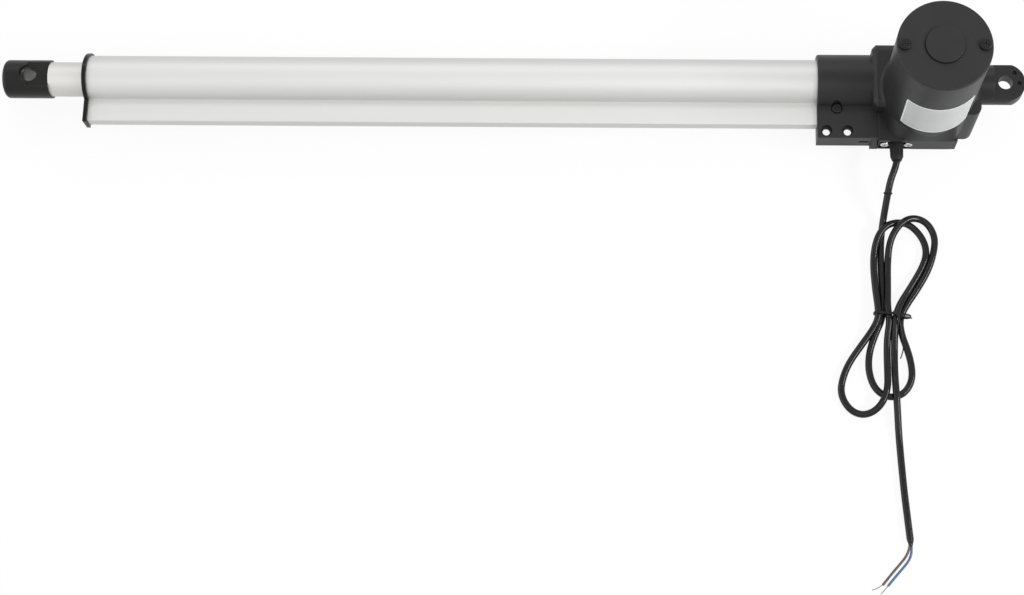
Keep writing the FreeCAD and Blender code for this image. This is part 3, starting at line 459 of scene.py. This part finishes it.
def flareFoot(size):
    # the foot's reach at each turn is (a^corner + b^corner)^(-1/corner), where a is sin turn over the
    # distance to the foot's side and b is cos turn over the distance to its face; the wall goes out to it
    # as wall + (reach - wall) s, with s from 0 at the top to 1 where the foot is full; the lower edge is
    # at the plate's foot as far as the gland, and on the plate where the gland stands before it
    (x, y), wall = tower["axis"], tower["wall"] - size["sunk"]
    rear, front = size["rear"] - x, size["front"] - x
    turn = np.linspace(math.asin(rear / wall), math.asin(front / wall), size["columns"])
    power = np.where(turn < 0, *size["corner"])
    a = np.sin(turn) / np.where(turn < 0, rear, front)
    b = np.cos(turn) / (size["face"] - y)
    reach = (a**power + b**power) ** (-1 / power)
    edge = np.interp(x + reach * np.sin(turn), size["gland"], size["base"])
    z = size["top"] + (edge - size["top"]) * np.linspace(0, 1, size["rows"])[:, None]
    s = np.clip((size["top"] - z) / (size["top"] - size["full"]), 0, 1)
    spread = wall + np.maximum(reach - wall, 0) * s
    turns = np.broadcast_to(turn, spread.shape)
    sheet = closedSheet(roundTower(spread, turns, z), roundTower(wall - size["sunk"], turns, z))
    return putMesh("towerFoot", *sheet, mouldedBlack)


def stickLabel(size):
    # each row's turn is drawn in by the round corners, c - sqrt(c^2 - d^2) for a row within the corner
    # radius c of the edge
    v = (1 - np.cos(np.linspace(0, np.pi, size["rows"]))) / 2
    u = np.linspace(0, 1, size["columns"])
    height = size["top"][1] - size["bottom"][1]
    depth = np.clip(size["corner"] - np.minimum(v, 1 - v) * height, 0, None)
    inset = (size["corner"] - np.sqrt(size["corner"] ** 2 - depth**2)) / tower["wall"]
    first, last = np.radians(size["turn"])
    turn = (first + inset)[:, None] + u[None] * (last - first - 2 * inset)[:, None]
    share = (turn - first) / (last - first)
    bottom, top = (near + share * (far - near) for near, far in (size["bottom"], size["top"]))
    z = bottom + v[:, None] * (top - bottom)
    lifts = (size["proud"], -size["sunk"])
    sheet = closedSheet(*(roundTower(tower["wall"] + lift, turn, z) for lift in lifts))
    uv = np.stack([share, np.broadcast_to(v[:, None], share.shape)], -1).reshape(-1, 2)
    return putMesh("blankLabel", *sheet, blankPaper, np.concatenate([uv, uv]))


towerFoot = flareFoot(foot)
stickLabel(label)
print("foot and label on the motor tower")

# cable: out of the gland, down to the floor, twice round a figure of eight, then the tail; points in mm
cable = dict(diameter=0.005, route=dict(
    lead=[(78.5, 57.8, -1.3), (79.4, 62.2, -1.5), (83.2, 71.5, -4.0), (85.4, 84.0, -10.8),
          (87.4, 97.0, -19.6), (88.9, 109.0, -22.5), (89.5, 127.0, -22.5), (88.9, 146.0, -22.5),
          (88.6, 159.0, -22.5)],
    lowerNear=[(89.6, 168.5, -22.5), (94.5, 179.0, -22.5), (98.8, 190.7, -22.5), (100.2, 202.5, -22.5),
               (98.4, 213.0, -22.5), (94.2, 220.4, -22.5), (87.2, 224.4, -22.5), (80.0, 224.0, -22.5),
               (74.0, 220.0, -22.5), (70.0, 212.6, -22.5), (69.6, 203.4, -22.5), (72.0, 191.6, -22.5),
               (76.4, 178.9, -22.5), (77.2, 168.5, -22.5)],
    upperWide=[(73.2, 159.5, -22.5), (63.6, 145.6, -22.5), (55.4, 131.4, -22.5), (51.0, 117.0, -22.5),
               (50.4, 107.0, -22.0), (55.4, 97.8, -20.4), (63.8, 94.6, -17.6), (72.4, 97.2, -14.8),
               (79.0, 103.8, -16.2), (83.2, 113.0, -19.6), (84.7, 127.0, -21.8), (85.2, 146.0, -20.6),
               (86.0, 160.5, -18.4)],
    lowerFar=[(84.6, 170.5, -18.2), (86.6, 182.5, -20.8), (87.0, 196.0, -21.6), (87.1, 208.5, -19.8),
              (87.6, 219.0, -17.4), (90.6, 228.4, -17.8), (96.6, 235.0, -20.8), (104.9, 237.6, -22.5),
              (113.2, 234.2, -22.5), (118.9, 225.6, -22.5), (119.7, 216.2, -22.5), (114.8, 202.0, -22.5),
              (105.4, 188.4, -22.5), (96.8, 177.0, -21.0), (92.6, 168.8, -18.4)],
    upperTight=[(92.5, 161.0, -18.6), (94.2, 144.0, -20.6), (95.0, 124.2, -21.0), (92.2, 109.6, -18.0),
                (86.2, 101.0, -16.4), (77.0, 97.4, -18.8), (67.6, 98.6, -21.6), (59.4, 107.6, -22.5),
                (56.4, 117.8, -22.5), (59.0, 128.4, -22.5), (68.8, 145.0, -22.0), (77.6, 158.5, -19.4)],
    tail=[(80.6, 168.0, -17.6), (81.4, 181.0, -20.4), (81.8, 195.0, -21.8), (82.0, 209.0, -20.2),
          (82.0, 219.0, -17.4), (81.4, 229.0, -17.6), (80.8, 240.0, -20.6), (80.2, 253.0, -22.5),
          (79.2, 270.0, -22.5), (77.8, 291.0, -22.5), (76.0, 310.0, -22.5), (74.7, 323.8, -22.5)],
))
cores = dict(
    diameter=0.00178,
    brown=[(75.0, 325.0, -22.2), (75.1, 329.2, -22.7), (77.6, 335.2, -24.1), (82.0, 340.4, -24.1),
           (88.0, 347.2, -24.1), (94.1, 354.7, -24.1)],
    blue=[(74.1, 325.0, -23.3), (73.8, 329.2, -23.7), (73.9, 333.0, -24.1), (75.7, 338.0, -24.1),
          (80.6, 343.8, -24.1), (85.8, 349.6, -24.1), (90.5, 355.3, -24.1)],
)


def layCord(name, points, diameter, finish, along=6, around=5):
    # one open spline along the route's points, whose own radius is the cord's, so the bevel is one deep
    curve = bpy.data.curves.new(name, "CURVE")
    curve.dimensions = "3D"
    line = curve.splines.new("NURBS")
    line.points.add(len(points) - 1)
    places = np.column_stack([np.array(points) / 1000, np.ones(len(points))])
    line.points.foreach_set("co", places.ravel())
    line.points.foreach_set("radius", np.full(len(points), diameter / 2))
    line.order_u = 3
    line.use_endpoint_u = True
    line.resolution_u = along
    curve.bevel_depth, curve.bevel_resolution, curve.use_fill_caps = 1.0, around, True
    curve.materials.append(finish)
    cord = bpy.data.objects.new(name, curve)
    scene.collection.objects.link(cord)
    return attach(cord, "frame")


def readLine(cord):
    # the points of the cord's own centre line, as Blender works them out
    cord.data.bevel_depth = 0
    mesh = bpy.data.meshes.new_from_object(cord)
    cord.data.bevel_depth = 1.0
    line = np.zeros(len(mesh.vertices) * 3)
    mesh.vertices.foreach_get("co", line)
    bpy.data.meshes.remove(mesh)
    return line.reshape(-1, 3)


def stepsOf(line):
    return np.linalg.norm(np.diff(line, axis=0), axis=1)


def lengthOf(line):
    return float(stepsOf(line).sum())


cableCord = layCord("cable", sum(cable["route"].values(), []), cable["diameter"], blackJacket)
brownCord = layCord("brownLead", cores["brown"], cores["diameter"], brownCore)
blueCord = layCord("blueLead", cores["blue"], cores["diameter"], blueCore)
cableLine, brownLine, blueLine = readLine(cableCord), readLine(brownCord), readLine(blueCord)
lengths = tuple(lengthOf(line) for line in (cableLine, brownLine, blueLine))
print("cable: %.3f m, brown %.3f m, blue %.3f m" % lengths)

# pieces on the cable: a band on the lead, a twist tie round the waist, the jacket's end, tinned ends
plumb = (0, 0, 1)
band = dict(along=0.0258, half=(0.00065, 0.0005), reach=0.0027, askew=(0.3, 1, 1), steps=40)
twistTie = dict(
    waist=(82.8, 166.0, -19.4), reach=(12.9, 5.0), square=0.62, lean=-0.10, half=(0.0008, 0.00042),
    knot=[(82.6, 165.2, -13.7), (80.6, 166.6, -13.3), (78.8, 168.4, -13.6)],
    wind=0.75, turns=2.3, thicker=1.3, loopSteps=96, knotSteps=60, endSteps=40,
    shortEnd=[(79.0, 168.0, -13.6), (75.6, 168.2, -14.6), (72.0, 168.4, -16.4), (69.4, 169.0, -17.2)],
    longEnd=[(78.8, 168.6, -13.8), (77.8, 174.0, -15.6), (76.0, 183.0, -19.2), (75.4, 190.0, -22.6),
             (77.2, 196.4, -24.2)])
jacketEnd = dict(
    line=[(74.8, 322.6, -22.5), (74.6, 324.4, -22.5), (74.5, 326.6, -22.7), (74.5, 329.0, -23.0)],
    width=(2.47, 2.36, 1.75, 1.35), height=(2.47, 2.36, 1.7, 1.25), steps=24, sides=28)
coreEnd = dict(
    half=(0.00042, 0.00036), taper=0.8, steps=24,
    brown=[(93.6, 354.1, -24.1), (97.6, 356.6, -24.4), (101.4, 358.1, -24.6)],
    blue=[(90.1, 354.8, -24.1), (93.2, 358.4, -24.4), (95.6, 360.7, -24.6)])


def slipBand(size, line):
    # a ring about the cable's line, a little askew: centre + reach (cos t side + sin t over)
    place = int(np.searchsorted(np.cumsum(stepsOf(line)), size["along"]))
    ahead = unit((line[place + 1] - line[place - 1]) * size["askew"])
    side, over = crossFrame(ahead, plumb)
    turn = np.linspace(0, 2 * np.pi, size["steps"], endpoint=False)[:, None]
    path = line[place] + size["reach"] * (np.cos(turn) * side + np.sin(turn) * over)
    return putMesh("cableBand", *tubeAlong(path, ahead, size["half"], closed=True), plainRubber)


def twistWire(size):
    # loop: a squared oval about the waist, cos and sin raised to the square power, leaning along Y
    turn = np.linspace(0, 2 * np.pi, size["loopSteps"], endpoint=False)
    oval = [np.sign(wave) * np.abs(wave) ** size["square"] for wave in (np.cos(turn), np.sin(turn))]
    wide, high = size["reach"][0] * oval[0], size["reach"][1] * oval[1]
    loop = (np.array(size["waist"]) + np.stack([wide, size["lean"] * wide, high], -1)) / 1000
    parts = [tubeAlong(loop, (0, 1, 0), size["half"], closed=True)]
    # knot: two wires half a turn apart about its line, line + wind (cos t side + sin t over)
    line = throughPoints(size["knot"], size["knotSteps"])
    side, over = crossFrame(unit(np.gradient(line, axis=0)), plumb)
    turned = np.linspace(0, 2 * np.pi * size["turns"], size["knotSteps"])[:, None]
    thick = size["half"][1] * size["thicker"]
    for start in (0, np.pi):
        wound = np.cos(turned + start) * side + np.sin(turned + start) * over
        parts.append(tubeAlong(line + size["wind"] / 1000 * wound, plumb, (thick, thick)))
    for end in (size["shortEnd"], size["longEnd"]):
        parts.append(tubeAlong(throughPoints(end, size["endSteps"]), plumb, size["half"]))
    return putMesh("twistTie", *joined(parts), blackScrew)


def drawIn(size):
    # rings that narrow from the jacket's round end to the oval of the two cores
    path = throughPoints(size["line"], size["steps"])
    along, place = np.linspace(0, 1, size["steps"]), np.linspace(0, 1, len(size["line"]))
    half = np.stack([np.interp(along, place, size[side]) for side in ("width", "height")], -1) / 1000
    return putMesh("jacketEnd", *tubeAlong(path, plumb, half, sides=size["sides"]), blackJacket)


def bareEnd(name, points, size):
    # tinned strands: a flattened tube that tapers to its end
    path = throughPoints(points, size["steps"])
    half = np.linspace(1, size["taper"], size["steps"])[:, None] * np.array(size["half"])
    return putMesh(name, *tubeAlong(path, plumb, half), tinnedCopper)


cableBand = slipBand(band, cableLine)
hankTie = twistWire(twistTie)
cableEnd = drawIn(jacketEnd)
brownEnd = bareEnd("brownEnd", coreEnd["brown"], coreEnd)
blueEnd = bareEnd("blueEnd", coreEnd["blue"], coreEnd)
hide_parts("cable_lead", "cable_hank", "cable_tail")
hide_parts("brown_wire")
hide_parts("blue_wire")
print("band, tie and bare ends on the cable")

# light: an even pale world, broad soft lamps behind the viewer and beyond the rod's end, and narrow ones
# beyond the tang and at the back
stage = dict(side=4.0, level=-0.0251, colour=(0.9, 0.9, 0.9, 1), rough=0.9, white=0.9)
sky = dict(light=0.55, white=1.0)
lamps = dict(
    viewerLamp=dict(place=(0.10, 0.75, 1.65), aim=(0.2, 0.05, 0), size=(1.5, 1.1), power=5),
    rearLamp=dict(place=(-0.95, 0.42, 0.85), aim=(0.05, 0.12, 0), size=(0.9, 0.2), power=14),
    frontLamp=dict(place=(2.30, 0.35, 0.75), aim=(0.10, 0.05, 0.05), size=(2.6, 1.3), power=18),
    backLamp=dict(place=(0.35, -0.95, 0.90), aim=(0.3, 0, 0), size=(1.6, 0.25), power=4),
)


def whiteRays(tree):
    # 1 where the backdrop is seen, directly, mirrored or through glass, and 0 where it gives light
    ray = addNode(tree, "LightPath").outputs
    mirrored = reckon(tree, "MAXIMUM", ray["Is Camera Ray"], ray["Is Glossy Ray"])
    return reckon(tree, "MAXIMUM", mirrored, ray["Is Transmission Ray"])


def buildStage(size):
    # the floor glows white by a share for those rays, and the rest of it keeps the object's shadow
    side, level = size["side"], size["level"]
    corners = [(-side, -side, level), (side, -side, level), (side, side, level), (-side, side, level)]
    floor = bpy.data.meshes.new("floor")
    floor.from_pydata(corners, [], [(0, 1, 2, 3)])
    ground = bpy.data.objects.new("floor", floor)
    scene.collection.objects.link(ground)
    pale, tree, shader = startFinish("paleFloor", Base_Color=size["colour"], Roughness=size["rough"],
                                     Specular_IOR_Level=0.0)
    share = reckon(tree, "MULTIPLY", whiteRays(tree), size["white"])
    glow = addNode(tree, "Emission", [("Color", (1, 1, 1, 1)), ("Strength", 1.0)])
    mixed = addNode(tree, "MixShader", [(0, share), (1, shader.outputs[0]), (2, glow.outputs[0])])
    tree.links.new(mixed.outputs[0], tree.nodes["Material Output"].inputs["Surface"])
    floor.materials.append(pale)


def buildWorld(level):
    world = bpy.data.worlds.new("studio")
    scene.world = world
    world.use_nodes = True
    tree = world.node_tree
    tree.nodes.clear()
    strength = mixValues(tree, whiteRays(tree), level["light"], level["white"])
    backdrop = addNode(tree, "Background", [("Color", (1, 1, 1, 1)), ("Strength", strength)])
    out = addNode(tree, "OutputWorld")
    tree.links.new(backdrop.outputs[0], out.inputs["Surface"])


def hangLamp(name, place, aim, size, power):
    lamp = bpy.data.lights.new(name, "AREA")
    lamp.shape, lamp.energy = "RECTANGLE", power
    lamp.size, lamp.size_y = size
    holder = bpy.data.objects.new(name, lamp)
    scene.collection.objects.link(holder)
    holder.location = place
    holder.rotation_mode = "QUATERNION"
    holder.rotation_quaternion = (Vector(aim) - Vector(place)).to_track_quat("-Z", "Y")


buildStage(stage)
buildWorld(sky)
for name, lamp in lamps.items():
    hangLamp(name, **lamp)
scene.view_settings.view_transform = "Standard"
print("lamps and floor set")
